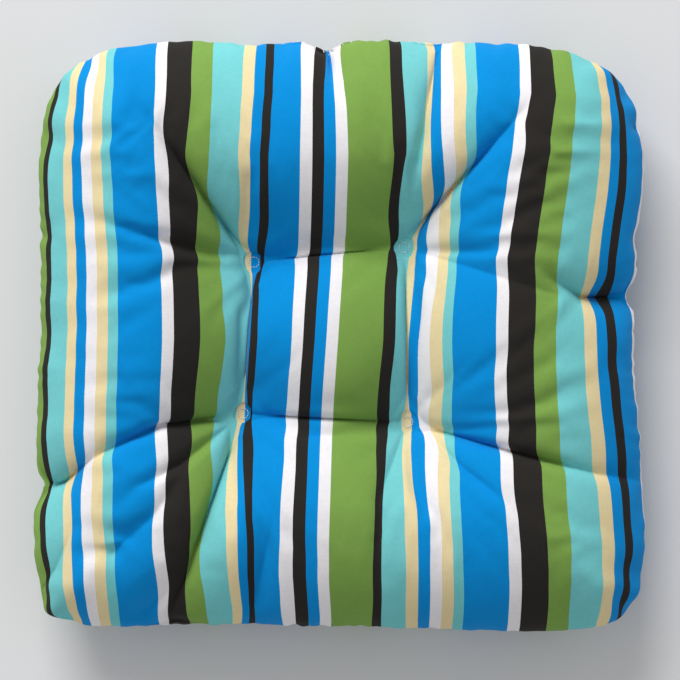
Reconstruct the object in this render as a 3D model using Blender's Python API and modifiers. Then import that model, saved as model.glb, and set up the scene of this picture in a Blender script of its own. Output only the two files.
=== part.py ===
"""Tufted chair seat pad: a knife-edge outdoor cushion, 20 inches square.

Two fabric panels are seamed round their edge with the allowances turned in, stuffed with loose
polyester fibre, and sewn through at four circle tacks that pull the faces together.
Metres, +Z up. The origin is on the floor under the middle of the pad, and +Y is its back edge.
"""

import math

import bmesh
import bpy
from mathutils import Vector
from mathutils.geometry import delaunay_2d_cdt

# ---- Driving dimensions -------------------------------------------------------------------

WIDTH = 0.508  # left to right, before the sides are drawn in
DEPTH = 0.490  # back to front
THICKNESS = 0.100  # floor to crown
SEAM_HEIGHT = 0.048  # the perimeter seam above the floor
BACK_CORNER_RADIUS = 0.090
FRONT_CORNER_RADIUS = 0.055
WAIST = 0.007  # how far the tacks draw in the middle of each side edge
ROLL = 0.055  # width of the rounded edge, from the seam to where a face levels out
FLATTENING = 0.010  # how far the pad's own weight squashes its underside against the floor

FABRIC = 0.0008
CLEARANCE = 0.0003  # between a thread or the fill and what it lies against

# Tack centres, in order round the pad. They are placed by eye, so not on an exact square.
TACKS = {
    "back_left": (-0.071, 0.061),
    "back_right": (0.053, 0.073),
    "front_right": (0.056, -0.071),
    "front_left": (-0.080, -0.064),
}
TACK_HEIGHT = 0.044  # middle of a tack above the floor
TACK_RING_RADIUS = 0.0042
TACK_HOLES = 8  # an even number, as the thread comes up as often as it goes down
TACK_FILL = 0.0018  # the fill left between the panels beside a tack
TACK_SPREAD = 0.026  # how slowly the faces part again away from a tack
VALLEY_DEPTH = 0.34  # share of the height lost along the line that joins two tacks
VALLEY_WIDTH = 0.013

ALLOWANCE = 0.010  # fabric turned in past the seam
THREAD_RADIUS = 0.0003
SEAM_THREAD_INSET = 0.002
OVERLOCK_THICKNESS = 0.0006
OVERLOCK_BITE = 0.005  # how far the overlock reaches over the raw edges

CLOSING_LENGTH = 0.150  # the turning gap in the back edge, sewn up after stuffing
CLOSING_STITCH = 0.008
CLOSING_BITE = 0.0022  # how far a closing stitch reaches up and down from the seam

# ---- Mesh fineness ------------------------------------------------------------------------

CORNER_STEPS = 6
SIDE_STEP = 0.034
GRID_STEP = 0.030
VALLEY_STEP = 0.018
RIM_INSET = 0.0025  # where the seam's fold opens into the face
RING_INSETS = (0.009, 0.024)
TACK_RINGS = (0.010, 0.020)
TACK_SIDES = 12
HOLE_SIDES = 6
SHARP_ANGLE = math.radians(50)

# ---- Derived dimensions -------------------------------------------------------------------

GRID_INSET = RING_INSETS[-1] + GRID_STEP / 2
PLY_GAP = 2 * (THREAD_RADIUS + CLEARANCE)  # between the allowances, where the seam thread lies
HOLE_RADIUS = (THREAD_RADIUS + CLEARANCE) / math.cos(math.pi / HOLE_SIDES)
FILL_CLEARANCE = CLEARANCE + 0.0002  # with a little over for the facets of the two faces
FILL_HOLE_RADIUS = TACK_RING_RADIUS + THREAD_RADIUS + 2 * CLEARANCE
TACK_SPOT_RADIUS = FILL_HOLE_RADIUS + 0.0010  # the flat spot under a tack
TACK_RISE = TACK_FILL / 2 + FILL_CLEARANCE + FABRIC  # from a tack's middle to a panel's face
OVERLOCK_INSET = ALLOWANCE + CLEARANCE
OVERLOCK_HALF = PLY_GAP / 2 + FABRIC + CLEARANCE  # from the seam's level to the overlock
SLOT_INSET = OVERLOCK_INSET + OVERLOCK_THICKNESS + CLEARANCE
SLOT_HALF = OVERLOCK_HALF + OVERLOCK_THICKNESS + CLEARANCE


# ---- The pad's outline and its heights ----------------------------------------------------


def waist_share(y):
    """How wide the pad is at y, as a share of its full width."""
    return 1 - 2 * WAIST / WIDTH * math.cos(math.pi * y / DEPTH) ** 2


def outline(inset=0.0):
    """The outline moved in by inset, as a loop of points that runs counterclockwise. Every
    inset gives the same number of points, so that two loops can be joined."""
    corners = (
        (1, -1, FRONT_CORNER_RADIUS, -90),
        (1, 1, BACK_CORNER_RADIUS, 0),
        (-1, 1, BACK_CORNER_RADIUS, 90),
        (-1, -1, FRONT_CORNER_RADIUS, 180),
    )
    arcs = []
    for side_x, side_y, radius, start in corners:
        centre = Vector((side_x * (WIDTH / 2 - radius), side_y * (DEPTH / 2 - radius)))
        arc = []
        for step in range(CORNER_STEPS + 1):
            angle = math.radians(start + 90 * step / CORNER_STEPS)
            arc.append(centre + (radius - inset) * Vector((math.cos(angle), math.sin(angle))))
        arcs.append(arc)
    loop = []
    for arc, following in zip(arcs, arcs[1:] + arcs[:1]):
        pieces = round((following[0] - arc[-1]).length / SIDE_STEP)
        loop += arc
        loop += [arc[-1].lerp(following[0], i / pieces) for i in range(1, pieces)]
    return [(x * waist_share(y), y) for x, y in loop]


def edge_distance(x, y):
    """How far a point is in from the seam."""
    radius = BACK_CORNER_RADIUS if y > 0 else FRONT_CORNER_RADIUS
    across = abs(x) / waist_share(y) - (WIDTH / 2 - radius)
    along = abs(y) - (DEPTH / 2 - radius)
    return radius - math.hypot(max(across, 0), max(along, 0)) - min(max(across, along), 0)


def edge_roll(distance):
    """0 at the seam and 1 where a face levels out, along a quarter of an ellipse."""
    share = min(max(distance / ROLL, 0), 1)
    return math.sqrt(1 - (1 - share) ** 2)


def valleys():
    """The four lines that join neighbouring tacks."""
    centres = [Vector(centre) for centre in TACKS.values()]
    return list(zip(centres, centres[1:] + centres[:1]))


def distance_to_valley(point):
    found = []
    for start, end in valleys():
        run = end - start
        share = min(max((Vector(point) - start).dot(run) / run.length_squared, 0), 1)
        found.append((Vector(point) - start - share * run).length)
    return min(found)


def puff(x, y):
    """0 on a tack and close to 1 well away from the tacks and their valleys."""
    share = 1 - VALLEY_DEPTH * math.exp(-((distance_to_valley((x, y)) / VALLEY_WIDTH) ** 2))
    for centre in TACKS.values():
        away = max(math.dist((x, y), centre) - TACK_SPOT_RADIUS, 0)
        share *= 1 - math.exp(-away / TACK_SPREAD)
    return share


def top_height(x, y):
    """The upper panel's outer face."""
    seam = SEAM_HEIGHT + PLY_GAP / 2
    share = puff(x, y)
    level = share * THICKNESS + (1 - share) * (TACK_HEIGHT + TACK_RISE)
    return seam + edge_roll(edge_distance(x, y)) * (level - seam)


def bottom_height(x, y):
    """The lower panel's outer face, pressed flat where it meets the floor."""
    seam = SEAM_HEIGHT - PLY_GAP / 2
    share = puff(x, y)
    level = (1 - share) * (TACK_HEIGHT - TACK_RISE) - share * FLATTENING
    return max(seam + edge_roll(edge_distance(x, y)) * (level - seam), 0)


# ---- Points and triangles in plan ---------------------------------------------------------


def circle(centre, radius, sides):
    angles = [2 * math.pi * i / sides for i in range(sides)]
    x, y = centre
    return [(x + radius * math.cos(a), y + radius * math.sin(a)) for a in angles]


def clear_of_tacks(point, gap):
    return all(math.dist(point, centre) > TACK_RINGS[-1] + gap for centre in TACKS.values())


def valley_points():
    found = []
    for start, end in valleys():
        pieces = round((end - start).length / VALLEY_STEP)
        found += [tuple(start.lerp(end, i / pieces)) for i in range(1, pieces)]
    return [point for point in found if clear_of_tacks(point, VALLEY_STEP / 4)]


def grid_points():
    """A grid over the open face, with every other row shifted, for triangles of even shape."""
    found = []
    columns = int(WIDTH / GRID_STEP / 2)
    rows = int(DEPTH / GRID_STEP / 2)
    for row in range(-rows, rows + 1):
        for column in range(-columns, columns + 1):
            point = ((column + row % 2 / 2) * GRID_STEP, row * GRID_STEP)
            on_face = edge_distance(*point) > GRID_INSET
            clear = clear_of_tacks(point, GRID_STEP / 3)
            if on_face and clear and distance_to_valley(point) > GRID_STEP / 3:
                found.append(point)
    return found


def triangulate(outer, holes, points):
    """(points, triangles, loops) of the area inside the loop outer and outside the holes."""
    coords = []
    loops = []
    for loop in (outer, *holes):
        loops.append(list(range(len(coords), len(coords) + len(loop))))
        coords += loop
    coords = [Vector(point) for point in coords + points]
    leave_holes_open = 2
    merge_within = 1e-7
    made = delaunay_2d_cdt(coords, [], loops, leave_holes_open, merge_within)
    places = {source: i for i, sources in enumerate(made[3]) for source in sources}
    return made[0], made[2], [[places[i] for i in loop] for loop in loops]


def face_layout():
    """A panel's face in plan, from the seam's fold to the flat spots of the tacks."""
    points = valley_points() + grid_points()
    for inset in RING_INSETS:
        points += outline(inset)
    for centre in TACKS.values():
        for radius in TACK_RINGS:
            points += circle(centre, radius, TACK_SIDES)
    spots = [circle(centre, TACK_SPOT_RADIUS, TACK_SIDES) for centre in TACKS.values()]
    return triangulate(outline(RIM_INSET), spots, points)


def tack_hole_centres(centre):
    return circle(centre, TACK_RING_RADIUS, TACK_HOLES)


def tack_spot_layout(centre):
    """The flat spot under a tack in plan, pierced for its thread."""
    holes = [circle(place, HOLE_RADIUS, HOLE_SIDES) for place in tack_hole_centres(centre)]
    return triangulate(circle(centre, TACK_SPOT_RADIUS, TACK_SIDES), holes, [centre])


# ---- Building blocks ----------------------------------------------------------------------


def add_layout(bm, layout, height, facing):
    """Adds a layout to bm at its heights, facing 1 for up or -1 for down. It gives back the
    vertices of the layout's loops."""
    points, triangles, loops = layout
    verts = [bm.verts.new((x, y, height(x, y))) for x, y in points]
    for triangle in triangles:
        corners = [verts[i] for i in triangle]
        bm.faces.new(corners if facing > 0 else corners[::-1])
    return [[verts[i] for i in loop] for loop in loops]


def add_loop(bm, points, level):
    return [bm.verts.new((x, y, level)) for x, y in points]


def join_loops(bm, *loops):
    """Walls from each loop to the next. They face outwards where the loops go up."""
    for first, second in zip(loops, loops[1:]):
        for i in range(len(first)):
            bm.faces.new((first[i - 1], first[i], second[i], second[i - 1]))


def material(name, colour, roughness):
    made = bpy.data.materials.new(name)
    made.use_nodes = True
    shader = made.node_tree.nodes["Principled BSDF"]
    shader.inputs["Base Color"].default_value = (*colour, 1)
    shader.inputs["Roughness"].default_value = roughness
    shader.inputs["Metallic"].default_value = 0
    return made


def add_object(name, data, finish, collection):
    made = bpy.data.objects.new(name, data)
    data.materials.append(finish)
    collection.objects.link(made)
    return made


def add_mesh_object(name, bm, finish, collection):
    bmesh.ops.remove_doubles(bm, verts=bm.verts, dist=1e-6)
    mesh = bpy.data.meshes.new(name)
    bm.to_mesh(mesh)
    bm.free()
    mesh.shade_smooth()
    mesh.set_sharp_from_angle(angle=SHARP_ANGLE)
    return add_object(name, mesh, finish, collection)


def add_thickness(made, thickness):
    """Thickens an open surface, on the side that its faces point away from."""
    solidify = made.modifiers.new("thickness", "SOLIDIFY")
    solidify.thickness = thickness
    solidify.offset = -1
    solidify.use_even_offset = True


def make_thread(name, points, closed, finish, collection):
    """A round thread through the points."""
    curve = bpy.data.curves.new(name, "CURVE")
    curve.dimensions = "3D"
    curve.bevel_depth = THREAD_RADIUS
    curve.bevel_resolution = 2
    curve.use_fill_caps = not closed
    spline = curve.splines.new("POLY")
    spline.points.add(len(points) - 1)
    for target, point in zip(spline.points, points):
        target.co = (*point, 1)
    spline.use_cyclic_u = closed
    return add_object(name, curve, finish, collection)


# ---- The pieces ---------------------------------------------------------------------------


def make_panel(name, height, facing, finish, collection):
    """A fabric panel: its face, the flat spots of the tacks, the fold at the seam and the
    allowance, which is turned in to lie along the other panel's."""
    bm = bmesh.new()
    rim = add_layout(bm, face_layout(), height, facing)[0]
    for centre in TACKS.values():
        add_layout(bm, tack_spot_layout(centre), height, facing)
    level = SEAM_HEIGHT + facing * PLY_GAP / 2
    seam = add_loop(bm, outline(), level)
    raw_edge = add_loop(bm, outline(ALLOWANCE), level)
    loops = (rim, seam, raw_edge)
    join_loops(bm, *(loops[::-1] if facing > 0 else loops))
    panel = add_mesh_object(name, bm, finish, collection)
    add_thickness(panel, FABRIC)


def add_fill_face(bm, height, facing):
    """A face of the fill: the panel's, moved in by the fabric and the clearance. It gives
    back the loops round its edge and round its tacks."""
    before = len(bm.verts)
    edge, *spots = add_layout(bm, face_layout(), height, facing)
    bm.normal_update()
    bm.verts.ensure_lookup_table()
    verts = bm.verts[before:]
    depth = FABRIC + FILL_CLEARANCE
    places = [vert.co - vert.normal * vert.calc_shell_factor() * depth for vert in verts]
    for vert, place in zip(verts, places):
        vert.co = place
    for vert in (vert for spot in spots for vert in spot):
        vert.co.z = TACK_HEIGHT + facing * TACK_FILL / 2
    return edge, spots


def make_fill(finish, collection):
    """One mass of fibre, with a slot round its edge for the allowances and an opening at each
    tack, where the thread passes."""
    bm = bmesh.new()
    low_edge, low_spots = add_fill_face(bm, bottom_height, -1)
    high_edge, high_spots = add_fill_face(bm, top_height, 1)
    walls = [
        add_loop(bm, outline(inset), SEAM_HEIGHT + rise)
        for inset, rise in (
            (RIM_INSET, -SLOT_HALF),
            (SLOT_INSET, -SLOT_HALF),
            (SLOT_INSET, SLOT_HALF),
            (RIM_INSET, SLOT_HALF),
        )
    ]
    join_loops(bm, low_edge, *walls, high_edge)
    for centre, low, high in zip(TACKS.values(), low_spots, high_spots):
        opening = circle(centre, FILL_HOLE_RADIUS, TACK_SIDES)
        lower = add_loop(bm, opening, TACK_HEIGHT - TACK_FILL / 2)
        upper = add_loop(bm, opening, TACK_HEIGHT + TACK_FILL / 2)
        join_loops(bm, high, upper, lower, low)
    add_mesh_object("fibre_fill", bm, finish, collection)


def make_overlock(finish, collection):
    """The overlocking that binds both raw edges together, as a folded band."""
    bm = bmesh.new()
    mouth = outline(OVERLOCK_INSET - OVERLOCK_BITE)
    back = outline(OVERLOCK_INSET)
    low = SEAM_HEIGHT - OVERLOCK_HALF
    high = SEAM_HEIGHT + OVERLOCK_HALF
    section = ((mouth, low), (back, low), (back, high), (mouth, high))
    join_loops(bm, *(add_loop(bm, points, level) for points, level in section))
    band = add_mesh_object("overlock_thread", bm, finish, collection)
    add_thickness(band, OVERLOCK_THICKNESS)


def make_tack(name, centre, finish, collection):
    """One thread sewn round a ring of holes, up through each hole and down through the next."""
    reach = TACK_RISE + CLEARANCE + THREAD_RADIUS
    points = []
    for i, (x, y) in enumerate(tack_hole_centres(centre)):
        start = -reach if i % 2 == 0 else reach
        points.append((x, y, TACK_HEIGHT + start))
        points.append((x, y, TACK_HEIGHT - start))
    make_thread(name, points, True, finish, collection)


def make_closing_thread(finish, collection):
    """Whipped stitches over the seam, along the turning gap in the back edge."""
    count = 2 * round(CLOSING_LENGTH / CLOSING_STITCH)
    reach = PLY_GAP / 2 + CLOSING_BITE
    points = []
    for i in range(count + 1):
        x = CLOSING_LENGTH * (i / count - 0.5)
        z = SEAM_HEIGHT + (reach if i % 2 else -reach)
        points.append((x, DEPTH / 2 + CLEARANCE + THREAD_RADIUS, z))
    make_thread("closing_thread", points, False, finish, collection)


def make_pad():
    for old in list(bpy.data.objects):
        bpy.data.objects.remove(old)
    collection = bpy.data.collections.new("seat_pad")
    bpy.context.scene.collection.children.link(collection)
    fabric = material("outdoor_fabric", (0.05, 0.34, 0.62), 0.85)
    fibre = material("polyester_fibre", (0.86, 0.86, 0.84), 0.95)
    thread = material("polyester_thread", (0.80, 0.82, 0.80), 0.55)

    make_panel("top_panel", top_height, 1, fabric, collection)
    make_panel("bottom_panel", bottom_height, -1, fabric, collection)
    make_fill(fibre, collection)
    seam = [(x, y, SEAM_HEIGHT) for x, y in outline(SEAM_THREAD_INSET)]
    make_thread("perimeter_seam_thread", seam, True, thread, collection)
    make_overlock(thread, collection)
    make_closing_thread(thread, collection)
    for place, centre in TACKS.items():
        make_tack(f"tack_thread_{place}", centre, thread, collection)


make_pad()
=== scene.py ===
import math

import bpy
import numpy as np
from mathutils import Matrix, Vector


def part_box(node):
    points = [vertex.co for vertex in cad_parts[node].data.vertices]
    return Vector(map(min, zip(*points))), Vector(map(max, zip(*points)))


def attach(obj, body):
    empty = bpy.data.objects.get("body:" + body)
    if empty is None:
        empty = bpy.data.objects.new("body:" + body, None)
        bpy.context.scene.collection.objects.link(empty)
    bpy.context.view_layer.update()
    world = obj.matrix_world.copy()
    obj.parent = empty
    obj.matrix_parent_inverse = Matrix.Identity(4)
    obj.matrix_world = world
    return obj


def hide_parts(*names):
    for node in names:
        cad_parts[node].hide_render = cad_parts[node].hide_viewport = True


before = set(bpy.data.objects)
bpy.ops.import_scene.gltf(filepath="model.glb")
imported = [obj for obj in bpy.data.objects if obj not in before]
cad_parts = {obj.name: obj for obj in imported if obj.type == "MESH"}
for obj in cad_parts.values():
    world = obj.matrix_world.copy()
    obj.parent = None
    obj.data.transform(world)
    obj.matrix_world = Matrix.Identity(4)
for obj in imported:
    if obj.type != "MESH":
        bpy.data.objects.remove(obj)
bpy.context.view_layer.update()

scene = bpy.context.scene
scene.view_settings.view_transform = "Standard"

# ---- Ground, light and camera ----
# The pad lies on a plain pale floor. One large soft lamp stands beyond its back left corner, and
# the camera looks straight down on it.
EYE_HEIGHT = 1.75
EYE_FORWARD = 0.0033
VIEW_WIDTH = 0.5608
FLOOR_REACH = 4
LAMP_PLACE = (-1.8, 5.0, 3.3)
LAMP_POWER = 385
ROOM_LIGHT = 0.52


def floor_material():
    material = bpy.data.materials.new("painted_floor")
    material.use_nodes = True
    nodes, links = material.node_tree.nodes, material.node_tree.links
    shader = nodes["Principled BSDF"]
    cloud = nodes.new("ShaderNodeTexNoise")
    cloud.inputs["Scale"].default_value = 3.0
    tone = nodes.new("ShaderNodeMapRange")
    tone.inputs["To Min"].default_value = 0.715
    tone.inputs["To Max"].default_value = 0.725
    links.new(cloud.outputs["Fac"], tone.inputs["Value"])
    paint = nodes.new("ShaderNodeCombineColor")
    for channel in ("Red", "Green", "Blue"):
        links.new(tone.outputs["Result"], paint.inputs[channel])
    links.new(paint.outputs["Color"], shader.inputs["Base Color"])
    shader.inputs["Roughness"].default_value = 0.95
    shader.inputs["Specular IOR Level"].default_value = 0.1
    return material


floor_mesh = bpy.data.meshes.new("floor")
floor_corners = [
    (-FLOOR_REACH, -FLOOR_REACH, 0), (FLOOR_REACH, -FLOOR_REACH, 0),
    (FLOOR_REACH, FLOOR_REACH, 0), (-FLOOR_REACH, FLOOR_REACH, 0),
]
floor_mesh.from_pydata(floor_corners, [], [(0, 1, 2, 3)])
floor_mesh.materials.append(floor_material())
floor = bpy.data.objects.new("floor", floor_mesh)
scene.collection.objects.link(floor)

lamp_light = bpy.data.lights.new("soft_lamp", "AREA")
lamp_light.shape = "RECTANGLE"
lamp_light.size = 4.0
lamp_light.size_y = 2.4
lamp_light.energy = LAMP_POWER
lamp = bpy.data.objects.new("soft_lamp", lamp_light)
lamp.location = LAMP_PLACE
lamp.rotation_euler = (-Vector(LAMP_PLACE)).to_track_quat("-Z", "Y").to_euler()
scene.collection.objects.link(lamp)
room = bpy.data.worlds.new("room")
room.use_nodes = True
room.node_tree.nodes["Background"].inputs["Color"].default_value = (0.97, 0.98, 1.0, 1)
room.node_tree.nodes["Background"].inputs["Strength"].default_value = ROOM_LIGHT
scene.world = room

seam_low, seam_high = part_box("perimeter_seam_thread")
SEAM = (seam_low[2] + seam_high[2]) / 2
eye = bpy.data.objects.new("eye", bpy.data.cameras.new("eye"))
eye.data.sensor_width = 36
eye.data.lens = 36 * EYE_HEIGHT / VIEW_WIDTH
eye.location = (0, -EYE_FORWARD, SEAM + EYE_HEIGHT)
scene.collection.objects.link(eye)
scene.camera = eye

# ---- Cutting the cloth ----
# Two panels of outdoor polyester are cut flat to one rounded square. They are larger than the
# finished pad, because the stuffing takes up cloth, and the spare length makes its creases.
CUT_WIDTH = 0.582
CUT_DEPTH = 0.574
CUT_BACK_CORNER = 0.100
CUT_FRONT_CORNER = 0.062
CLOTH_STEP = 0.0066
TACK_EASE = 0.05
TACK_PATCH = 0.008
PANEL_APART = 0.002
CUT_TACKS = {
    "back_left": (-0.0740, 0.0640),
    "back_right": (0.0515, 0.0760),
    "front_right": (0.0615, -0.0730),
    "front_left": (-0.0795, -0.0670),
}


def cut_point(across, along):
    """A place on the cut cloth, from two numbers between -1 and 1."""
    x, y = across * CUT_WIDTH / 2, along * CUT_DEPTH / 2
    corner = CUT_BACK_CORNER if y > 0 else CUT_FRONT_CORNER
    mid_x, mid_y = CUT_WIDTH / 2 - corner, CUT_DEPTH / 2 - corner
    if abs(x) > mid_x and abs(y) > mid_y:
        p, q = (abs(x) - mid_x) / corner, (abs(y) - mid_y) / corner
        x = math.copysign(mid_x + corner * p * math.sqrt(1 - q * q / 2), x)
        y = math.copysign(mid_y + corner * q * math.sqrt(1 - p * p / 2), y)
    return x, y


columns = round(CUT_WIDTH / CLOTH_STEP)
rows = round(CUT_DEPTH / CLOTH_STEP)
cut = np.array([[cut_point(2 * i / columns - 1, 2 * j / rows - 1) for i in range(columns + 1)]
                for j in range(rows + 1)])
tack_squares = {}
for name, spot in CUT_TACKS.items():
    middles = (cut[:-1, :-1] + cut[1:, 1:] + cut[:-1, 1:] + cut[1:, :-1]) / 4
    near = np.hypot(middles[..., 0] - spot[0], middles[..., 1] - spot[1])
    j, i = (int(k) for k in np.unravel_index(near.argmin(), near.shape))
    away = np.hypot(cut[..., 0] - spot[0], cut[..., 1] - spot[1])
    share = np.clip(1 - away / TACK_EASE, 0, 1) ** 2
    share[away < TACK_PATCH] = 1
    cut += share[..., None] * (np.array(spot) - middles[j, i])
    tack_squares[name] = (j, i)

# The two panels are the same grid of threads and share the points of the sewn edge.
inside = np.zeros((rows + 1, columns + 1), bool)
inside[1:-1, 1:-1] = True
upper = np.arange(inside.size).reshape(inside.shape)
lower = upper.copy()
lower[inside] = np.arange(inside.sum()) + inside.size
rim = np.unique(np.concatenate([upper[0], upper[-1], upper[:, 0], upper[:, -1]]))
flat = np.zeros((inside.size + int(inside.sum()), 3))
flat[upper.ravel(), :2] = cut.reshape(-1, 2)
flat[lower.ravel(), :2] = cut.reshape(-1, 2)
flat[upper[inside], 2] = PANEL_APART
flat[lower[inside], 2] = -PANEL_APART

# ---- The finished shape that the stuffing works towards ----
# Loose polyester fibre goes in through a gap in the back seam. The pad's edge, loft and four
# tacks settle where it can swell: over a round roll at the edge, and in pillows between tacks.
panel_low, panel_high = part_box("top_panel")
under_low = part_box("bottom_panel")[0]
WIDTH = panel_high[0] - panel_low[0]
DEPTH = panel_high[1] - panel_low[1]
LOFT_ABOVE = panel_high[2] - SEAM
LOFT_BELOW = SEAM - under_low[2]
ROLL = 0.050
ROLL_IN = 0.072
DRAWN_TO_TACK = 0.075
DENT_START = 0.005
DENT = 0.024
OUTLINE_STEPS = 16
OUTLINE = [
    (-0.2530, -0.1760), (-0.2525, -0.1350), (-0.2505, -0.0940), (-0.2500, -0.0530), (-0.2475, -0.0030),
    (-0.2475, 0.0290), (-0.2475, 0.0700), (-0.2480, 0.1120), (-0.2485, 0.1530), (-0.2410, 0.1950),
    (-0.2250, 0.2200), (-0.1980, 0.2340), (-0.1600, 0.2420), (-0.1155, 0.2440), (-0.0740, 0.2410),
    (-0.0330, 0.2440), (0.0080, 0.2440), (0.0495, 0.2440), (0.0900, 0.2435), (0.1320, 0.2425),
    (0.1730, 0.2385), (0.2060, 0.2290), (0.2300, 0.2140), (0.2470, 0.1850), (0.2520, 0.1530),
    (0.2490, 0.1120), (0.2460, 0.0700), (0.2440, 0.0290), (0.2430, -0.0030), (0.2450, -0.0530),
    (0.2480, -0.0940), (0.2515, -0.1350), (0.2520, -0.1760), (0.2460, -0.2130), (0.2280, -0.2350),
    (0.2000, -0.2430), (0.1500, -0.2440), (0.0500, -0.2410), (-0.0330, -0.2395), (-0.1150, -0.2385),
    (-0.1600, -0.2400), (-0.1980, -0.2400), (-0.2270, -0.2350), (-0.2450, -0.2220), (-0.2520, -0.2020),
]
tacks = {}
for name in CUT_TACKS:
    ring_low, ring_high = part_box("tack_thread_" + name)
    tacks[name] = ((ring_low[0] + ring_high[0]) / 2, (ring_low[1] + ring_high[1]) / 2)
ring_low, ring_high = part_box("tack_thread_back_left")
TACK_DROP = SEAM - (ring_low[2] + ring_high[2]) / 2


def outline():
    """The finished pad's edge, seen from above: a smooth line through its points."""
    points = np.array(OUTLINE)
    before, after, last = np.roll(points, 1, 0), np.roll(points, -1, 0), np.roll(points, -2, 0)
    line = []
    for t in np.arange(OUTLINE_STEPS)[:, None] / OUTLINE_STEPS:
        line.append(0.5 * (-t ** 3 + 2 * t ** 2 - t) * before
                    + 0.5 * (3 * t ** 3 - 5 * t ** 2 + 2) * points
                    + 0.5 * (-3 * t ** 3 + 4 * t ** 2 + t) * after
                    + 0.5 * (t ** 3 - t ** 2) * last)
    return np.stack(line, 1).reshape(-1, 2)


def to_line(x, y, start, end):
    """Distance to a line between two places, and how far along it the nearest point is."""
    dx, dy = end[0] - start[0], end[1] - start[1]
    along = np.clip(((x - start[0]) * dx + (y - start[1]) * dy) / (dx * dx + dy * dy), 0, 1)
    return np.hypot(x - start[0] - along * dx, y - start[1] - along * dy), along


def reach(points, angle):
    """How far out an edge lies, at an angle round the middle of the pad."""
    around = np.arctan2(points[:, 1], points[:, 0])
    out = np.hypot(points[:, 0], points[:, 1])
    order = np.argsort(around)
    around, out = around[order], out[order]
    around = np.concatenate([around - 2 * math.pi, around, around + 2 * math.pi])
    return np.interp(angle, around, np.concatenate([out, out, out]))


def inset(x, y):
    """How far inside the finished edge a place is."""
    line = outline()
    near = np.full(x.shape, 9.0)
    for start, end in zip(line, np.roll(line, -1, 0)):
        near = np.minimum(near, to_line(x, y, start, end)[0])
    near[np.hypot(x, y) > reach(line, np.arctan2(y, x))] = 0
    return near


turn = np.linspace(0, math.pi / 2, 400)
turn_in = ROLL_IN * (1 - np.cos(turn))
turn_step = np.hypot(np.diff(turn_in), np.diff(ROLL * np.sin(turn)))
turn_cloth = np.concatenate([[0], np.cumsum(turn_step)])


def taken_in(cloth):
    """How far in from the edge a length of cloth reaches once it has turned over the roll."""
    return np.interp(cloth, turn_cloth, turn_in) + np.maximum(cloth - turn_cloth[-1], 0)


def stuffed_axis(spot, cut_half, half):
    """Where a place on the cut cloth comes to lie on the stuffed pad, along one axis."""
    return np.sign(spot) * half * (1 - taken_in(cut_half - np.abs(spot)) / taken_in(cut_half))


x = stuffed_axis(cut[..., 0], CUT_WIDTH / 2, WIDTH / 2)
y = stuffed_axis(cut[..., 1], CUT_DEPTH / 2, DEPTH / 2)
edge = np.concatenate([np.stack([x[k], y[k]], -1) for k in (0, -1)]
                      + [np.stack([x[:, k], y[:, k]], -1) for k in (0, -1)])
angle = np.arctan2(y, x)
share = np.clip((np.hypot(x, y) / reach(edge, angle) - 0.45) / 0.55, 0, 1)
share = share * share * (3 - 2 * share)
scale = 1 + (reach(outline(), angle) / reach(edge, angle) - 1) * share
plan = np.stack([x * scale, y * scale], -1)
for _ in range(3):
    for name, (j, i) in tack_squares.items():
        middle = plan[j:j + 2, i:i + 2].mean((0, 1))
        away = np.hypot(*(cut - cut[j:j + 2, i:i + 2].mean((0, 1))).transpose(2, 0, 1))
        plan += np.exp(-(away / DRAWN_TO_TACK) ** 2)[..., None] * (np.array(tacks[name]) - middle)
x, y = plan[..., 0], plan[..., 1]
from_edge = inset(x, y)
roll = np.sqrt(1 - (1 - np.clip(from_edge / ROLL_IN, 0, 1)) ** 2)
puff = np.ones_like(x)
for spot in tacks.values():
    past_dent = np.maximum(np.hypot(x - spot[0], y - spot[1]) - DENT_START, 0)
    puff *= 1 - np.exp(-past_dent / DENT)

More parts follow.
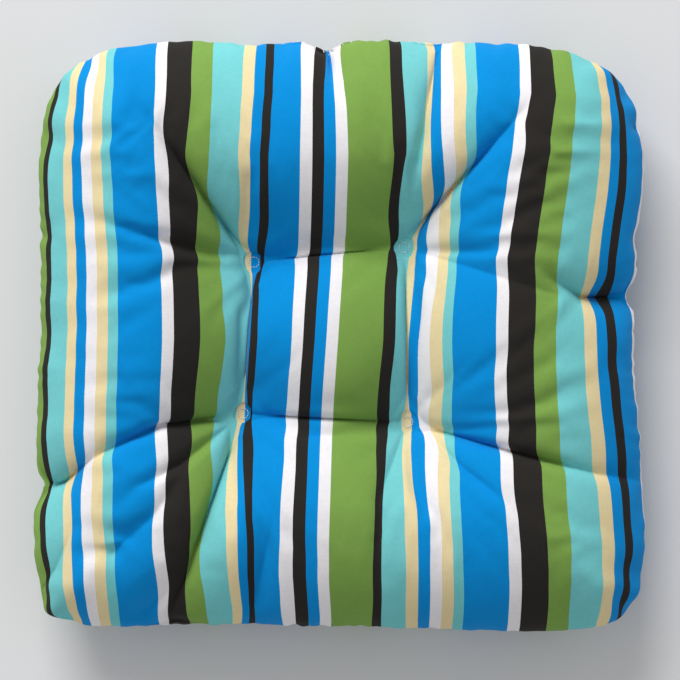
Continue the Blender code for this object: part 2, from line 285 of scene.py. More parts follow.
# ---- Creases ----
# The cloth draws tight from tack to tack, and slack cloth folds from each tack towards the
# corners and sides. Each line: its stops, its depth, its reach to either side, how far the cloth
# beside it closes over it, and whether it runs out at its end.
CREASES = [
    (["back_left", "back_right"], 0.011, 0.009, 0.80, False),
    (["front_left", "front_right"], 0.011, 0.009, 0.80, False),
    (["back_left", "front_left"], 0.012, 0.014, 0.90, False),
    (["back_right", "front_right"], 0.012, 0.012, 0.82, False),
    (["back_left", (-0.112, 0.116), (-0.154, 0.176)], 0.018, 0.010, 0.80, True),
    (["back_left", (-0.194, 0.092)], 0.006, 0.015, 0.30, True),
    (["back_right", (0.076, 0.104), (0.115, 0.145), (0.148, 0.182)], 0.018, 0.011, 0.82, True),
    (["back_right", (0.181, 0.030), (0.247, 0.036)], 0.007, 0.015, 0.30, True),
    (["front_left", (-0.148, -0.073), (-0.192, -0.094), (-0.208, -0.106)], 0.017, 0.010, 0.75, True),
    ([(-0.252, -0.128), (-0.226, -0.120), (-0.200, -0.098)], 0.026, 0.010, 0.85, True),
    (["front_left", (-0.124, -0.193), (-0.135, -0.219), (-0.142, -0.246)], 0.021, 0.010, 0.84, True),
    (["front_right", (0.132, -0.092), (0.206, -0.111), (0.247, -0.119)], 0.015, 0.010, 0.72, True),
    (["front_right", (0.124, -0.127)], 0.005, 0.006, 0.45, True),
    (["front_right", (0.031, -0.135), (0.031, -0.235)], 0.007, 0.013, 0.30, True),
    ([(0.080, 0.232), (0.070, 0.180), (0.058, 0.112)], 0.011, 0.011, 0.50, True),
    ([(-0.013, 0.249), (-0.009, 0.232), (-0.006, 0.205)], 0.030, 0.009, 0.85, True),
    ([(0.252, 0.034), (0.196, 0.032), (0.172, 0.048)], 0.032, 0.010, 0.90, True),
    ([(0.251, 0.172), (0.240, 0.172)], 0.008, 0.006, 0.60, True),
    ([(0.250, 0.078), (0.238, 0.080)], 0.006, 0.006, 0.60, True),
    ([(-0.250, -0.215), (-0.232, -0.190), (-0.214, -0.150)], 0.008, 0.010, 0.50, True),
    ([(-0.184, -0.175), (-0.148, -0.142), (-0.125, -0.110)], 0.008, 0.018, 0.12, True),
    ([(-0.160, -0.225), (-0.112, -0.172)], 0.008, 0.015, 0.15, True),
    (["front_left", (-0.129, -0.104), (-0.165, -0.122)], 0.010, 0.009, 0.40, True),
    ([(-0.070, -0.218), (-0.054, -0.150)], 0.007, 0.013, 0.30, True),
]
MIDDLE_PILLOW = 0.010
PILLOW_EDGE = 0.016
VALLEY_DEPTH = 0.62
VALLEY_WIDTH = 0.017
DIP_FADE_FROM = 0.004
DIP_FADE = 0.009
CLOSE_FADE_FROM = 0.007
CLOSE_FADE = 0.018
MOST_CLOSED = 0.85
UPPER_FADE = 0.009
# Each place where the edge is drawn in, and by how much. The front left corner is drawn out.
PUCKER_REACH = 0.011
PUCKERS = [
    (-0.252, -0.128, 0.0085),
    (-0.250, -0.215, 0.0030),
    (0.250, 0.034, 0.0115),
    (0.214, 0.033, 0.0060),
    (0.251, 0.172, 0.0035),
    (0.248, 0.078, 0.0030),
    (-0.013, 0.246, 0.0090),
    (-0.074, 0.243, 0.0020),
    (0.125, 0.243, 0.0015),
    (-0.247, -0.229, -0.0065),
]
ring = [tacks[name] for name in ("back_left", "back_right", "front_right", "front_left")]
valley = np.full_like(x, 9.0)
for start, end in zip(ring, ring[1:] + ring[:1]):
    valley = np.minimum(valley, to_line(x, y, start, end)[0])
puff *= 1 - VALLEY_DEPTH * np.exp(-valley / VALLEY_WIDTH)


def to_crease(x, y, stops):
    """Distance to a bent line, how far along it, and the nearest place on it."""
    path = [tacks[stop] if isinstance(stop, str) else stop for stop in stops]
    lengths = [math.dist(p, q) for p, q in zip(path, path[1:])]
    near, along = np.full(x.shape, 9.0), np.zeros(x.shape)
    near_x, near_y = np.zeros(x.shape), np.zeros(x.shape)
    done = 0
    for p, q, length in zip(path, path[1:], lengths):
        away, part = to_line(x, y, p, q)
        closer = away < near
        near = np.where(closer, away, near)
        along = np.where(closer, (done + part * length) / sum(lengths), along)
        near_x = np.where(closer, p[0] + part * (q[0] - p[0]), near_x)
        near_y = np.where(closer, p[1] + part * (q[1] - p[1]), near_y)
        done += length
    return near, along, near_x, near_y


crease = np.zeros_like(x)
creased = np.full_like(x, 9.0)
for stops, depth, width, closing, runs_out in CREASES:
    if runs_out:
        away, along, _, _ = to_crease(x, y, stops)
        crease = np.maximum(crease, depth * np.exp(-away / width) * (1 - 0.8 * along))
        creased = np.minimum(creased, away + 0.02 * along)

TACK_SLOPE = 0.02
MOST_CREASE = 0.8
CLOTH_LIFT = 0.0008
drop = np.zeros_like(x)
for spot in tacks.values():
    from_tack = np.hypot(x - spot[0], y - spot[1])
    drop = np.maximum(drop, TACK_DROP * np.exp(-(from_tack / TACK_SLOPE) ** 2))
stuffed = flat.copy()
stuffed[upper.ravel(), :2] = plan.reshape(-1, 2)
stuffed[lower.ravel(), :2] = plan.reshape(-1, 2)
loft_above, loft_below = LOFT_ABOVE * puff, LOFT_BELOW * puff
above = roll * (loft_above - np.minimum(crease, MOST_CREASE * loft_above)) + CLOTH_LIFT - drop
below = -roll * (loft_below - np.minimum(0.4 * crease, MOST_CREASE * loft_below)) - CLOTH_LIFT - drop
stuffed[upper[inside], 2] = above[inside]
stuffed[lower[inside], 2] = below[inside]
stuffed[rim, 2] = 0
GATHER_HEIGHT = 0.0014
GATHER_REACH = 0.03
gathers = np.random.default_rng(4)
wave = sum(gathers.uniform(0.4, 1) * np.sin(n * np.arctan2(y, x) + gathers.uniform(0, 6.28))
           for n in (11, 17, 23, 31))
stuffed[upper.ravel(), 2] += GATHER_HEIGHT * (wave * np.clip(1 - from_edge / GATHER_REACH, 0, 1)).ravel()

# ---- Sewing and stuffing ----
# The panels are sewn together round the edge, the tacks draw both through the fibre, and the
# stuffing is blown in. The cloth keeps its cut size, so it must fold as the pad fills.
FILLING = 12
SETTLING = 14
PANEL_COUNT = rows * columns
HOLD_UPPER = 0.22
HOLD_VALLEY = 0.45
HOLD_CREASE = 0.62
HOLD_LOWER = 0.45
HOLD_SEAM = 0.62
HOLD_WIDTH = 0.006

sewn_mesh = bpy.data.meshes.new("sewn_cloth")
round_upper = (upper[:-1, :-1], upper[:-1, 1:], upper[1:, 1:], upper[1:, :-1])
round_lower = (lower[:-1, :-1], lower[1:, :-1], lower[1:, 1:], lower[:-1, 1:])
faces = []
for corners in (round_upper, round_lower):
    faces += np.stack(corners, -1).reshape(-1, 4).tolist()
stitches = []
for j, i in tack_squares.values():
    for k in (0, 1):
        for m in (0, 1):
            stitches.append((int(upper[j + k, i + m]), int(lower[j + k, i + m])))
sewn_mesh.from_pydata([tuple(p) for p in flat], stitches, faces)
sewn_mesh.polygons.foreach_set("material_index", [0] * PANEL_COUNT + [1] * PANEL_COUNT)
layout = sewn_mesh.attributes.new("cut", "FLOAT_VECTOR", "POINT")
layout.data.foreach_set("vector", np.c_[flat[:, :2], np.zeros(len(flat))].astype(np.float32).ravel())
at_seam = np.zeros(len(flat))
at_seam[rim] = 1
seam_share = sewn_mesh.attributes.new("seam", "FLOAT", "POINT")
seam_share.data.foreach_set("value", at_seam.astype(np.float32))
cut_corner = np.where(flat[:, 1] > 0, CUT_BACK_CORNER, CUT_FRONT_CORNER)
past_x = np.abs(flat[:, 0]) - (CUT_WIDTH / 2 - cut_corner)
past_y = np.abs(flat[:, 1]) - (CUT_DEPTH / 2 - cut_corner)
from_seam = cut_corner - np.hypot(past_x.clip(0), past_y.clip(0))
from_seam -= np.minimum(np.maximum(past_x, past_y), 0)
gathered = sewn_mesh.attributes.new("gathered", "FLOAT", "POINT")
gathered.data.foreach_set("value", np.exp(-from_seam.clip(0) / 0.016).astype(np.float32))
sewn_cloth = bpy.data.objects.new("sewn_cloth", sewn_mesh)
scene.collection.objects.link(sewn_cloth)
sewn_cloth.shape_key_add(name="flat")
full = sewn_cloth.shape_key_add(name="stuffed")
full.data.foreach_set("co", stuffed.astype(np.float32).ravel())
full.value = 0.0
full.keyframe_insert("value", frame=1)
full.value = 1.0
full.keyframe_insert("value", frame=FILLING)

hold = np.zeros(len(flat))
hold[upper.ravel()] = HOLD_UPPER
hold[upper[inside]] += HOLD_VALLEY * np.exp(-(valley / HOLD_WIDTH) ** 2)[inside]
hold_crease = HOLD_CREASE * np.exp(-(creased / HOLD_WIDTH) ** 2)[inside]
hold[upper[inside]] = np.maximum(hold[upper[inside]], hold_crease)
hold[lower[inside]] = HOLD_LOWER
hold[rim] = HOLD_SEAM
for pair in stitches:
    hold[list(pair)] = 1.0
hold = np.round(hold, 2)
held = sewn_cloth.vertex_groups.new(name="held")
for value in np.unique(hold):
    held.add([int(v) for v in np.flatnonzero(hold == value)], float(value), "REPLACE")
stuffing = sewn_cloth.modifiers.new("stuffing", "CLOTH")
settings = stuffing.settings
settings.quality = 6
settings.mass = 0.3
settings.tension_stiffness = 40
settings.compression_stiffness = 10
settings.shear_stiffness = 12
settings.bending_model = "ANGULAR"
settings.bending_stiffness = 0.5
settings.tension_damping = 5
settings.compression_damping = 5
settings.shear_damping = 5
settings.bending_damping = 0.5
settings.air_damping = 1
settings.use_pressure = True
settings.uniform_pressure_force = 2.5
settings.use_sewing_springs = True
settings.sewing_force_max = 0
settings.effector_weights.gravity = 0
settings.vertex_group_mass = "held"
settings.pin_stiffness = 4
stuffing.collision_settings.use_collision = False
stuffing.collision_settings.use_self_collision = False
stuffing.point_cache.frame_start = 1
stuffing.point_cache.frame_end = FILLING + SETTLING
for step in range(1, FILLING + SETTLING + 1):
    scene.frame_set(step)


def points_of(mesh):
    points = np.empty(len(mesh.vertices) * 3, np.float32)
    mesh.vertices.foreach_get("co", points)
    return points.reshape(-1, 3).astype(float)


def share_of(mesh, name):
    values = np.empty(len(mesh.vertices), np.float32)
    mesh.attributes[name].data.foreach_get("value", values)
    return values


now = bpy.context.evaluated_depsgraph_get()
settled = bpy.data.meshes.new_from_object(sewn_cloth.evaluated_get(now))
bpy.data.objects.remove(sewn_cloth)
scene.frame_set(1)
settled.shade_smooth()

# The fibre rounds off the smallest folds, most of all along the sewn edge.
SMOOTHING_PASSES = 5
SMOOTHED_REACH = 0.07
SEWING_LENGTH = 0.0045
pad = points_of(settled)
pairs = np.array([tuple(edge.vertices) for edge in settled.edges])
pairs = pairs[np.linalg.norm(flat[pairs[:, 0]] - flat[pairs[:, 1]], axis=1) > SEWING_LENGTH]
on_rim = at_seam > 0.5
ends = np.concatenate([pairs, pairs[:, ::-1]])
ends = ends[~on_rim[ends[:, 0]] | on_rim[ends[:, 1]]]
count = np.bincount(ends[:, 0], minlength=len(pad))[:, None].clip(1)
near_edge = np.zeros(len(pad))
for layer in (upper, lower):
    near_edge[layer.ravel()] = np.clip(1 - from_edge / SMOOTHED_REACH, 0, 1).ravel()
for turn_number in range(SMOOTHING_PASSES):
    total = np.zeros_like(pad)
    np.add.at(total, ends[:, 0], pad[ends[:, 1]])
    eased = 0.55 * np.clip(near_edge * 1.6, 0 if turn_number else 0.35, 1) * (hold < 0.99)
    pad += (total / count - pad) * eased[:, None]

# The two layers never pass through each other, and the underside rests flat on the floor.
LEAST_APART = 0.0016
EDGE_SLOPE = 0.36
EDGE_SLOPE_REACH = 0.095
SEAM_PART = 0.030
FLAT_LEVEL = 0.0006
FLAT_TURN = 0.0022
thin = np.maximum(LEAST_APART - (pad[upper[inside], 2] - pad[lower[inside], 2]), 0) / 2
pad[upper[inside], 2] += thin
pad[lower[inside], 2] -= thin
sloped = EDGE_SLOPE * np.clip(1 - from_edge / EDGE_SLOPE_REACH, 0, 1) ** 1.2
pad[upper[inside], 2] *= (1 - sloped)[inside]
for layer, way in ((upper, 1), (lower, -1)):
    clear_of_seam = layer[inside & (from_edge > SEAM_PART)]
    level = way * np.maximum(way * (pad[clear_of_seam, 2] + TACK_DROP), 0.0010) - TACK_DROP
    pad[clear_of_seam, 2] = level
pad[:, 2] += SEAM
pad[:, 2] = FLAT_TURN * np.log1p(np.exp((pad[:, 2] - FLAT_LEVEL) / FLAT_TURN))
settled.vertices.foreach_set("co", pad.astype(np.float32).ravel())


def finer(mesh, levels):
    """The same cloth with its squares divided and smoothed."""
    worked = bpy.data.objects.new("worked_cloth", mesh)
    scene.collection.objects.link(worked)
    divided = worked.modifiers.new("divided", "SUBSURF")
    divided.levels = levels
    now = bpy.context.evaluated_depsgraph_get()
    result = bpy.data.meshes.new_from_object(worked.evaluated_get(now))
    bpy.data.objects.remove(worked)
    return result


def press_creases(points, more=1.0, thickness=0.0008):
    """Draws the cloth of the upper panel down into each crease and closes it over the crease.

    Both fade out close to a tack, where the cloth is already at its lowest."""
    clear = np.min([np.hypot(points[:, 0] - spot[0], points[:, 1] - spot[1]) for spot in ring], 0)
    upper_side = np.clip((points[:, 2] - SEAM + UPPER_FADE) / UPPER_FADE, 0, 1)
    first = points.copy()
    dip, drawn = np.zeros(len(points)), np.zeros(len(points))
    closed = np.zeros((len(points), 2))
    for stops, depth, width, closing, runs_out in CREASES:
        depth, width = depth * more, width * more
        away, along, near_x, near_y = to_crease(first[:, 0], first[:, 1], stops)
        amount = upper_side * np.clip((clear - DIP_FADE_FROM) / DIP_FADE, 0, 1)
        if runs_out:
            amount = amount * (1 - 0.85 * along ** 1.5)
        pull = closing * amount * np.clip((clear - CLOSE_FADE_FROM) / CLOSE_FADE, 0, 1)
        pull = pull * np.exp(-(away / (1.3 * width)) ** 2)
        closed += (np.stack([near_x, near_y], -1) - first[:, :2]) * pull[:, None]
        drawn += pull
        here = depth * amount * np.exp(-away / width)
        dip = np.maximum(dip, here) + 0.3 * np.minimum(dip, here)
    points[:, :2] += closed * np.minimum(1, MOST_CLOSED / drawn.clip(1e-9))[:, None]
    tight = np.exp(-(clear / 0.016) ** 2)
    lowest = SEAM - TACK_DROP + thickness
    sunk = np.maximum(points[:, 2] - dip, np.minimum(first[:, 2], lowest + 0.004 * (1 - tight)))
    points[:, 2] = np.where(upper_side > 0, sunk, points[:, 2])
    within = np.ones(len(points))
    for start, end in zip(ring, ring[1:] + ring[:1]):
        along_x, along_y = end[0] - start[0], end[1] - start[1]
        side = along_x * (first[:, 1] - start[1]) - along_y * (first[:, 0] - start[0])
        within *= 1 - np.exp(-np.maximum(-side / math.dist(start, end), 0) / PILLOW_EDGE)
    points[:, 2] += MIDDLE_PILLOW * within * upper_side
    for px, py, depth in PUCKERS:
        from_pucker = np.hypot(points[:, 0] - px, points[:, 1] - py)
        close = depth * np.exp(-(from_pucker / PUCKER_REACH) ** 2)
        points[:, 0] -= close * px / math.hypot(px, py)
        points[:, 1] -= close * py / math.hypot(px, py)


def draw_in_seam(points, share, depth):
    """Sinks the sewn edge below the cloth on either side of it."""
    out = points[:, :2] / np.hypot(points[:, 0], points[:, 1])[:, None].clip(1e-6)
    points[:, :2] -= out * (depth * np.clip((share - 0.5) / 0.5, 0, 1) ** 1.5)[:, None]


SEAM_DEPTH = 0.0022
cloth_mesh = finer(settled, 2)
cloth = points_of(cloth_mesh)
press_creases(cloth)
draw_in_seam(cloth, share_of(cloth_mesh, "seam"), SEAM_DEPTH)
cloth_mesh.vertices.foreach_set("co", cloth.astype(np.float32).ravel())
cloth_mesh.update()

# Short gathers stand along the seam, where the longer cut edge is eased into it.
SHORT_GATHER = 0.00050
normals = np.empty(len(cloth) * 3, np.float32)
cloth_mesh.vertex_normals.foreach_get("vector", normals)
around = np.arctan2(cloth[:, 1], cloth[:, 0])
ease = sum(gathers.uniform(0.5, 1) * np.sin(n * around + gathers.uniform(0, 6.28))
           for n in (61, 83, 109, 137))
patchy = 0.6 + 0.4 * np.sin(9 * around + 1.0) * np.sin(5 * around)
eased = SHORT_GATHER * ease * patchy * share_of(cloth_mesh, "gathered")
cloth += normals.reshape(-1, 3) * eased[:, None]
cloth_mesh.vertices.foreach_set("co", cloth.astype(np.float32).ravel())

# ---- The printed cloth ----
# A plain-weave spun polyester, printed with uneven stripes that run from back to front. It is
# matt, its yarns are slightly uneven, and its colour is a little worn along the seam.
STRIPES = [
    ("green", 35.5), ("brown", 8.4), ("aqua", 18.3), ("sand", 9.6), ("blue", 9.6), ("white", 9.6),
    ("sand", 9.6), ("aqua", 8.8), ("blue", 35.5), ("white", 10.0), ("brown", 21.5), ("green", 17.1),
    ("aqua", 24.0), ("sand", 9.6), ("blue", 8.8), ("brown", 6.4), ("blue", 24.7), ("white", 9.6),
    ("brown", 9.6), ("blue", 9.6), ("white", 9.6),
]
PRINT_COLOURS = {
    "green": (0.185, 0.330, 0.066),
    "brown": (0.022, 0.0195, 0.017),
    "aqua": (0.165, 0.545, 0.555),
    "sand": (0.745, 0.620, 0.350),
    "blue": (0.0008, 0.240, 0.610),
    "white": (0.790, 0.765, 0.780),
}
PRINT_START = 304.5
THREAD_PITCH = 0.0011


def printed_cloth():
    material = bpy.data.materials.new("printed_cloth")
    material.use_nodes = True
    nodes, links = material.node_tree.nodes, material.node_tree.links
    shader = nodes["Principled BSDF"]
    shader.inputs["Specular IOR Level"].default_value = 0.06
    shader.inputs["Sheen Weight"].default_value = 0.05
    shader.inputs["Sheen Roughness"].default_value = 0.5
    place = nodes.new("ShaderNodeAttribute")
    place.attribute_name = "cut"
    split = nodes.new("ShaderNodeSeparateXYZ")
    links.new(place.outputs["Vector"], split.inputs["Vector"])

    def sum_of(first, second, kind="ADD", third=None):
        """One Math node of the material, of a kind that is given by its name."""
        node = nodes.new("ShaderNodeMath")
        node.operation = kind
        for socket, value in zip(node.inputs, (first, second, third)):
            if value is None:
                continue
            if isinstance(value, (int, float)):
                socket.default_value = value
            else:
                links.new(value, socket)
        return node.outputs["Value"]

    def yarns(name, along_x, along_y, detail):
        stretch = nodes.new("ShaderNodeMapping")
        stretch.inputs["Scale"].default_value = (along_x, along_y, 1)
        links.new(place.outputs["Vector"], stretch.inputs["Vector"])
        grain = nodes.new("ShaderNodeTexNoise")
        grain.name = name
        grain.inputs["Scale"].default_value = 1.0
        grain.inputs["Detail"].default_value = detail
        links.new(stretch.outputs["Vector"], grain.inputs["Vector"])
        return grain.outputs["Fac"]

    warp = yarns("warp_slubs", 1300, 110, 2)
    weft = yarns("weft_slubs", 110, 1300, 2)
    mottle = yarns("mottle", 260, 260, 3)
    cloudy = yarns("uneven_dye", 14, 14, 3)

    fuzz = sum_of(sum_of(weft, 0.5, "SUBTRACT"), 0.0004, "MULTIPLY")
    run = sum_of(split.outputs["X"], fuzz)
    total = sum(width for _, width in STRIPES)
    turns = sum_of(run, 1000 / total, "MULTIPLY_ADD", PRINT_START / total)
    repeat = sum_of(turns, 0, "FRACT")
    stripes = nodes.new("ShaderNodeValToRGB")
    stripes.color_ramp.interpolation = "CONSTANT"
    stops = stripes.color_ramp.elements
    stops.remove(stops[1])
    done = 0
    for number, (colour, width) in enumerate(STRIPES):
        stop = stops[0] if number == 0 else stops.new(done / total)
        stop.position = done / total
        stop.color = (*PRINT_COLOURS[colour], 1)
        done += width
    links.new(repeat, stripes.inputs["Fac"])

    grain = sum_of(sum_of(warp, weft), mottle)
    tone = nodes.new("ShaderNodeMapRange")
    tone.inputs["From Min"].default_value = 1.0
    tone.inputs["From Max"].default_value = 2.0
    tone.inputs["To Min"].default_value = 0.94
    tone.inputs["To Max"].default_value = 1.05
    links.new(grain, tone.inputs["Value"])
    dye = nodes.new("ShaderNodeMapRange")
    dye.inputs["From Min"].default_value = 0.3
    dye.inputs["From Max"].default_value = 0.7
    dye.inputs["To Min"].default_value = 0.97
    dye.inputs["To Max"].default_value = 1.03
    links.new(cloudy, dye.inputs["Value"])
    depth = sum_of(tone.outputs["Result"], dye.outputs["Result"], "MULTIPLY")
    shade = nodes.new("ShaderNodeVectorMath")
    shade.operation = "SCALE"
    links.new(stripes.outputs["Color"], shade.inputs["Vector"])
    links.new(depth, shade.inputs["Scale"])
    seam_wear = nodes.new("ShaderNodeAttribute")
    seam_wear.attribute_name = "seam"
    worn = nodes.new("ShaderNodeMix")
    worn.data_type = "RGBA"
    worn.inputs["B"].default_value = (0.55, 0.56, 0.55, 1)
    links.new(sum_of(sum_of(seam_wear.outputs["Fac"], mottle, "MULTIPLY"), 0.16, "MULTIPLY"),
              worn.inputs["Factor"])
    links.new(shade.outputs["Vector"], worn.inputs["A"])
    links.new(worn.outputs["Result"], shader.inputs["Base Color"])

    rough = nodes.new("ShaderNodeMapRange")
    rough.inputs["To Min"].default_value = 0.76
    rough.inputs["To Max"].default_value = 0.92
    links.new(mottle, rough.inputs["Value"])
    links.new(rough.outputs["Result"], shader.inputs["Roughness"])

    over = sum_of(sum_of(split.outputs["X"], 2 * math.pi / THREAD_PITCH, "MULTIPLY"), 0, "SINE")
    under = sum_of(sum_of(split.outputs["Y"], 2 * math.pi / THREAD_PITCH, "MULTIPLY"), 0, "SINE")
    weave = sum_of(sum_of(over, under, "MULTIPLY"), 0.25, "MULTIPLY")
    height = sum_of(sum_of(grain, 0.9, "MULTIPLY"), weave)
    relief = nodes.new("ShaderNodeBump")
    relief.inputs["Strength"].default_value = 0.2
    relief.inputs["Distance"].default_value = 0.0002
    links.new(height, relief.inputs["Height"])
    links.new(relief.outputs["Normal"], shader.inputs["Normal"])
    return material


cloth_material = printed_cloth()

# The cloth isn't laid quite square to its print, and stuffing pulls it on the bias. Each row: how
# far forward or back of the middle it is, then how many millimetres the print has run across.
DRIFT_ACROSS = [
    -270, -240, -200, -150, -110, -80, -76, -60, -30, 0,
    40, 63, 80, 110, 146, 177, 218, 240, 270,
]
PRINT_DRIFT = [
    (-0.214, [-1, -1, 0, 2, 8, 13.5, 14, 14.5, 9.5, 9,
              8.5, 6, 5, 3.7, 1.1, -1.3, -5.6, -11, -19]),
    (-0.003, [3, -0.9, -0.6, -0.8, -1.2, -7.5, 0.8, -0.3, 1.5, 1.7,
              3.2, 11, 6.5, 7.5, 6.1, 4.8, 3.5, -1.5, -12]),
    (0.070, [2.2, 0.5, 1.4, 0.6, 0.2, -3.7, 0.9, -0.2, -0.1, -0.1,
             4.7, 4, 4.3, 7, 8, 7.2, 3.8, 1.3, -9]),
    (0.163, [1.3, 2.4, 4, 2.5, 2, 1.1, 1, 0, -2.2, -2.4,
             -4.8, -9, -6.3, -3, -2, -2.2, -4.8, -6.5, -12]),
    (0.215, [1.3, 2.4, 4, 0.5, 0, -2.4, -2.5, -3.5, -3, -2.4,
             -4.8, -9, -7, -7, -9.5, -11, -11, -12.5, -17]),
]


def lay_print(mesh):
    """Moves the print on the cloth by its drift."""
    places = np.empty(len(mesh.vertices) * 3, np.float32)
    mesh.attributes["cut"].data.foreach_get("vector", places)
    places = places.reshape(-1, 3)
    across, along = places[:, 0] * 1000, places[:, 1]
    drift = np.array([np.interp(across, DRIFT_ACROSS, run) for _, run in PRINT_DRIFT])
    levels = [level for level, _ in PRINT_DRIFT]
    between = np.interp(along, levels, range(len(levels)))
    row = np.minimum(between.astype(int), len(levels) - 2)
    each = np.arange(len(row))
    moved = drift[row, each] + (between - row) * (drift[row + 1, each] - drift[row, each])
    places[:, 0] += moved / 1000
    mesh.attributes["cut"].data.foreach_set("vector", places.ravel())


lay_print(cloth_mesh)

# ---- Upper and lower panels ----
# The same cut twice. Each keeps a 10 mm seam allowance, which is turned inside the pad. Right
# sides face out, and the two meet in a knife edge all round.
ALLOWANCE = 0.010
ALLOWANCE_LIFT = 0.0005
CUT_REACH = 0.28


def seam_line(mesh):
    """The sewn edge of the finished pad, in order round it, as point numbers."""
    points = points_of(mesh)
    numbers = np.flatnonzero(share_of(mesh, "seam") > 0.999)
    around = np.arctan2(points[numbers, 1], points[numbers, 0])
    return numbers[np.argsort(around)]


def inward(line):
    """For each point of the seam, the level direction that leads into the pad."""
    ahead = np.roll(line, -2, 0) - np.roll(line, 2, 0)
    across = np.stack([-ahead[:, 1], ahead[:, 0], np.zeros(len(line))], -1)
    return across / np.linalg.norm(across, axis=1)[:, None].clip(1e-9)


seam_points = seam_line(cloth_mesh)
seam_path = cloth[seam_points]
seam_in = inward(seam_path)


def panel(name, side, lift):
    """One panel: its half of the sewn cloth, and its allowance folded in at the seam."""
    which = np.empty(len(cloth_mesh.polygons), np.int32)
    cloth_mesh.polygons.foreach_get("material_index", which)
    corners = np.empty(len(cloth_mesh.loops), np.int32)
    cloth_mesh.loops.foreach_get("vertex_index", corners)
    quads = corners.reshape(-1, 4)[which == side]
    used = np.unique(quads)
    number = np.full(len(cloth_mesh.vertices), -1)
    number[used] = np.arange(len(used))
    cut_places = np.empty(len(cloth_mesh.vertices) * 3, np.float32)
    cloth_mesh.attributes["cut"].data.foreach_get("vector", cut_places)
    cut_places = cut_places.reshape(-1, 3)
    turned = seam_path + seam_in * ALLOWANCE
    turned[:, 2] += lift
    points = np.concatenate([cloth[used], turned])
    first = len(used)
    strip = []
    count = len(seam_points)
    for k in range(count):
        a, b = number[seam_points[k]], number[seam_points[(k + 1) % count]]
        c, d = first + (k + 1) % count, first + k
        strip.append((a, b, c, d) if side else (b, a, d, c))
    made = bpy.data.meshes.new(name)
    made.from_pydata(points.tolist(), [], number[quads].tolist() + strip)
    outward = cut_places[seam_points] * (1 + ALLOWANCE / CUT_REACH)
    print_places = np.concatenate([cut_places[used], outward]).astype(np.float32)
    made.attributes.new("cut", "FLOAT_VECTOR", "POINT")
    made.attributes["cut"].data.foreach_set("vector", print_places.ravel())
    worn = np.concatenate([share_of(cloth_mesh, "seam")[used], np.zeros(count)])
    made.attributes.new("seam", "FLOAT", "POINT")
    made.attributes["seam"].data.foreach_set("value", worn.astype(np.float32))
    made.shade_smooth()
    made.materials.append(cloth_material)
    piece = bpy.data.objects.new(name, made)
    scene.collection.objects.link(piece)
    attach(piece, "root")
    return piece


upper_panel = panel("upper_panel", 0, ALLOWANCE_LIFT)
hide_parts("top_panel")
lower_panel = panel("lower_panel", 1, -ALLOWANCE_LIFT)
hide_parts("bottom_panel")

# ---- Fibre fill ----
# One mass of loose white polyester fibre. It fills the cover, and its surface follows the cloth
# a few millimetres inside it.
FILL_INSIDE = 0.0030
FILL_DIVIDED = 1.25
fill_mesh = finer(settled, 1)
fill = points_of(fill_mesh)
press_creases(fill, FILL_DIVIDED, 0.0001)
fill_mesh.vertices.foreach_set("co", fill.astype(np.float32).ravel())
fill_mesh.update()
normals = np.empty(len(fill) * 3, np.float32)
fill_mesh.vertex_normals.foreach_get("vector", normals)
middle = SEAM - TACK_DROP
room_inside = np.clip(np.abs(fill[:, 2] - middle) / 0.006, 0, 1)
fill -= normals.reshape(-1, 3) * FILL_INSIDE * room_inside[:, None]
near_tack = np.min([np.hypot(fill[:, 0] - spot[0], fill[:, 1] - spot[1]) for spot in ring], 0)
pushed = np.clip((near_tack - 0.009) / 0.013, 0, 1)
fill[:, 2] = middle + (fill[:, 2] - middle) * pushed * pushed * (3 - 2 * pushed)
fill[:, :2] *= 1 - 0.035 * np.clip(share_of(fill_mesh, "seam"), 0, 1)[:, None]
fill_mesh.vertices.foreach_set("co", fill.astype(np.float32).ravel())


def fibre_material():
    material = bpy.data.materials.new("lofted_fibre")
    material.use_nodes = True
    nodes, links = material.node_tree.nodes, material.node_tree.links
    shader = nodes["Principled BSDF"]
    shader.inputs["Roughness"].default_value = 0.9
    place = nodes.new("ShaderNodeTexCoord")
    strands = nodes.new("ShaderNodeTexNoise")
    strands.inputs["Scale"].default_value = 90
    strands.inputs["Detail"].default_value = 6
    strands.inputs["Distortion"].default_value = 2.5
    links.new(place.outputs["Object"], strands.inputs["Vector"])
    tone = nodes.new("ShaderNodeValToRGB")
    tone.color_ramp.elements[0].color = (0.68, 0.68, 0.66, 1)
    tone.color_ramp.elements[1].color = (0.92, 0.92, 0.90, 1)
    links.new(strands.outputs["Fac"], tone.inputs["Fac"])
    links.new(tone.outputs["Color"], shader.inputs["Base Color"])
    relief = nodes.new("ShaderNodeBump")
    relief.inputs["Distance"].default_value = 0.002
    links.new(strands.outputs["Fac"], relief.inputs["Height"])
    links.new(relief.outputs["Normal"], shader.inputs["Normal"])
    return material


fill_mesh.materials.clear()
fill_mesh.materials.append(fibre_material())
fill_mesh.polygons.foreach_set("material_index", [0] * len(fill_mesh.polygons))
loose_fill = bpy.data.objects.new("loose_fill", fill_mesh)
scene.collection.objects.link(loose_fill)
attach(loose_fill, "root")
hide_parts("fibre_fill")

# ---- Seam and overlock threads ----
# Spun polyester sewing thread, inside the pad. A lockstitch holds the two allowances together
# round the edge, and an overlock stitch binds their raw edges.
THREAD = 0.0003
LOCKSTITCH_INSIDE = 0.0012
OVEREDGE = 0.0028


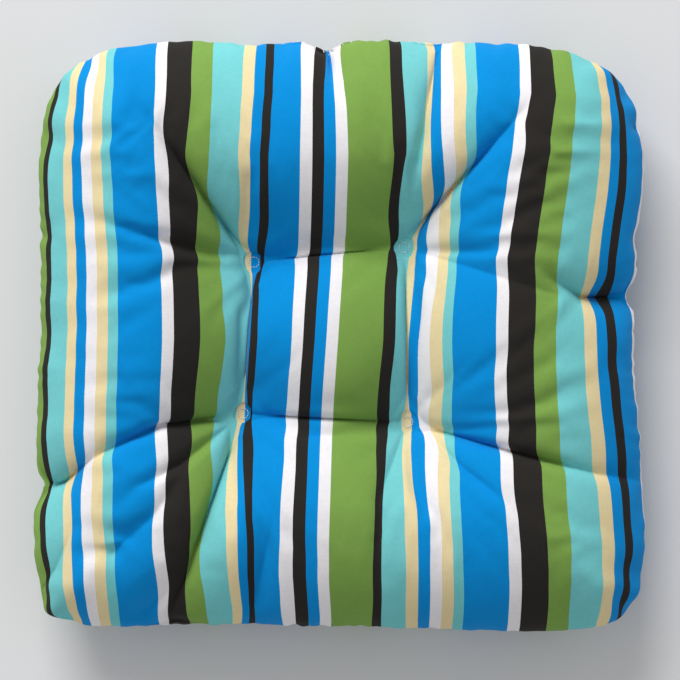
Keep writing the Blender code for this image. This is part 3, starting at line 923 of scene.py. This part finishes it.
def thread_material(name, dark, light, twist):
    material = bpy.data.materials.new(name)
    material.use_nodes = True
    nodes, links = material.node_tree.nodes, material.node_tree.links
    shader = nodes["Principled BSDF"]
    shader.inputs["Roughness"].default_value = 0.55
    shader.inputs["Sheen Weight"].default_value = 0.2
    place = nodes.new("ShaderNodeTexCoord")
    plies = nodes.new("ShaderNodeTexWave")
    plies.bands_direction = "DIAGONAL"
    plies.inputs["Scale"].default_value = twist
    plies.inputs["Distortion"].default_value = 1.0
    links.new(place.outputs["Object"], plies.inputs["Vector"])
    tone = nodes.new("ShaderNodeValToRGB")
    tone.color_ramp.elements[0].color = (*dark, 1)
    tone.color_ramp.elements[1].color = (*light, 1)
    links.new(plies.outputs["Fac"], tone.inputs["Fac"])
    links.new(tone.outputs["Color"], shader.inputs["Base Color"])
    relief = nodes.new("ShaderNodeBump")
    relief.inputs["Distance"].default_value = 0.0001
    links.new(plies.outputs["Fac"], relief.inputs["Height"])
    links.new(relief.outputs["Normal"], shader.inputs["Normal"])
    return material


def sewn_thread(name, runs, radius, material, closed=False):
    """Thread that follows each run of points, with rounded sides."""
    curve = bpy.data.curves.new(name, "CURVE")
    curve.dimensions = "3D"
    curve.bevel_depth = radius
    curve.bevel_resolution = 2
    curve.use_fill_caps = True
    for run in runs:
        spline = curve.splines.new("POLY")
        spline.points.add(len(run) - 1)
        spline.points.foreach_set("co", np.c_[run, np.ones(len(run))].astype(np.float32).ravel())
        spline.use_cyclic_u = closed
    curve.materials.append(material)
    piece = bpy.data.objects.new(name, curve)
    scene.collection.objects.link(piece)
    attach(piece, "root")
    return piece


sewing_thread = thread_material("sewing_thread", (0.60, 0.62, 0.62), (0.84, 0.85, 0.85), 900)
beat = np.arange(len(seam_path))
lockstitch = seam_path + seam_in * LOCKSTITCH_INSIDE
lockstitch[:, 2] += 0.0003 * np.sin(beat * math.pi / 2)
edge_lockstitch = sewn_thread("edge_lockstitch", [lockstitch], THREAD, sewing_thread, True)
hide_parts("perimeter_seam_thread")
overedge = seam_path + seam_in * (ALLOWANCE - 0.0025 + OVEREDGE * (beat % 2))[:, None]
overedge[:, 2] += 0.0009 * np.sin(beat * math.pi / 2)
edge_overlock = sewn_thread("edge_overlock", [overedge], THREAD, sewing_thread, True)
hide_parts("overlock_thread")

# ---- Closing stitches ----
# The gap in the back seam, through which the pad was turned and stuffed, is closed by hand with
# short slanted stitches over the two folded edges.
close_low, close_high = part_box("closing_thread")
WHIP = 0.008
WHIP_SLANT = 0.0022
WHIP_RISE = 0.0024
WHIP_THREAD = 0.00032
whip_runs = []
in_gap = (seam_path[:, 0] > close_low[0]) & (seam_path[:, 0] < close_high[0])
back = np.flatnonzero(in_gap & (seam_path[:, 1] > 0.15))
back = back[np.argsort(seam_path[back, 0])]
back_path, back_in = seam_path[back], seam_in[back]
for spot in np.arange(close_low[0] + WHIP / 2, close_high[0] - WHIP / 2, WHIP):
    run = []
    for t in np.linspace(-1, 1, 9):
        at = spot + WHIP_SLANT * t
        here = np.array([np.interp(at, back_path[:, 0], back_path[:, k]) for k in range(3)])
        within = np.array([np.interp(at, back_path[:, 0], back_in[:, k]) for k in range(3)])
        proud = 0.0013 * (1 - t * t) - 0.0006 * t * t
        run.append(here - within * (proud + 0.0004) + np.array([0, 0, WHIP_RISE * t]))
    whip_runs.append(np.array(run))
closing_stitches = sewn_thread("closing_stitches", whip_runs, WHIP_THREAD, sewing_thread)
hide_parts("closing_thread")

# ---- Circle tacks ----
# Four rings of about twelve short stitches, in a pale thread with a slight gloss. Each goes
# through both panels and draws them together at the middle of the pad's thickness.
TACK_RING = 0.0042
TACK_STITCHES = 12
STITCH_ARC = 0.31
TACK_THREAD = 0.00029
tack_thread = thread_material("tack_thread", (0.62, 0.64, 0.72), (0.88, 0.89, 0.94), 1100)
for name, spot in tacks.items():
    runs = []
    for side, panel_piece in ((1, upper_panel), (-1, lower_panel)):
        around = points_of(panel_piece.data)
        around = around[np.hypot(around[:, 0] - spot[0], around[:, 1] - spot[1]) < 0.009]
        for k in range(TACK_STITCHES):
            run = []
            for t in np.linspace(-1, 1, 7):
                turned = 2 * math.pi * (k + STITCH_ARC * t) / TACK_STITCHES
                px, py = spot[0] + TACK_RING * math.cos(turned), spot[1] + TACK_RING * math.sin(turned)
                near = np.hypot(around[:, 0] - px, around[:, 1] - py)
                close = np.argsort(near)[:3]
                level = np.average(around[close, 2], weights=1 / (near[close] + 1e-4))
                run.append((px, py, level + side * (0.00045 * (1 - t ** 4) - 0.0003 * t ** 4)))
            runs.append(np.array(run))
    circle_tack = sewn_thread("circle_tack_" + name, runs, TACK_THREAD, tack_thread)
    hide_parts("tack_thread_" + name)
